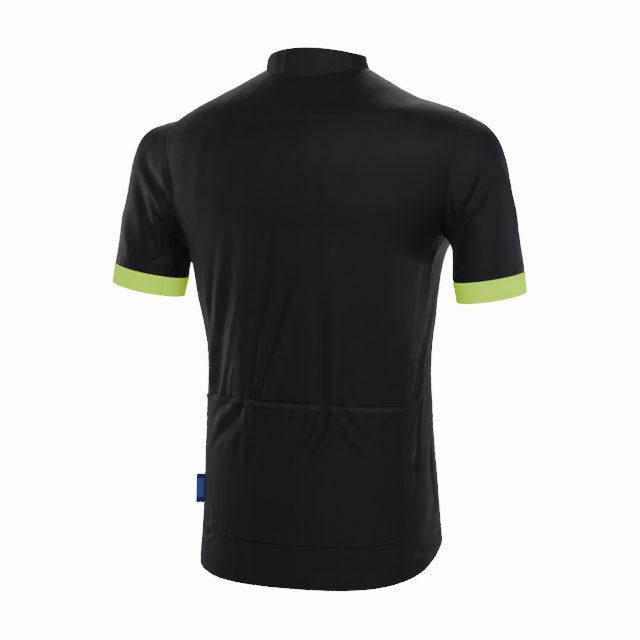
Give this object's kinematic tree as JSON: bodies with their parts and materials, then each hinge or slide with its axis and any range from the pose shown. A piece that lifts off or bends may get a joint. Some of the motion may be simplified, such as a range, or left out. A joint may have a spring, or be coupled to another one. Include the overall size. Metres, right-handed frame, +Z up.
{
  "type": "cycling jersey",
  "caption": "Short-sleeved cycling jersey in its worn form, hollow, with a stand collar, front zip, rear pocket panel and contrasting cuff bands.",
  "frame": {"origin": "midway between the two side neck points, where the wearer's shoulders carry the jersey", "axes": "+X towards the wearer's left, +Y towards the back, +Z up"},
  "size_m": [0.5985, 0.267, 0.7116],
  "materials": {
    "black_knit": "matte polyester knit",
    "grey_side_mesh": "fine open knit, slightly shiny",
    "fluorescent_knit": "matte elastic knit",
    "blue_ribbon": "woven ribbon",
    "black_nylon": "moulded coil on woven tape",
    "dark_metal": "dark lacquer"
  },
  "bodies": {
    "jersey": {"back_panel": "black_knit", "front_panel_left": "black_knit", "front_panel_right": "black_knit", "side_panel_left": "grey_side_mesh", "side_panel_right": "grey_side_mesh", "sleeve_left": "black_knit", "sleeve_right": "black_knit", "cuff_left": "fluorescent_knit", "cuff_right": "fluorescent_knit", "collar": "black_knit", "pocket_panel": "black_knit", "pocket_binding": "black_knit", "side_label": "blue_ribbon", "zip": "black_nylon", "zip_slider": "dark_metal"},
    "zip_pull": {"zip_pull": "dark_metal"}
  },
  "joints": [
    {"name": "zip_pull_hinge", "type": "hinge", "parent": "jersey", "child": "zip_pull", "pos_m": [0, -0.06865, -0.03887], "axis": [-1, 0, 0], "range_deg": [0, 160]}
  ]
}
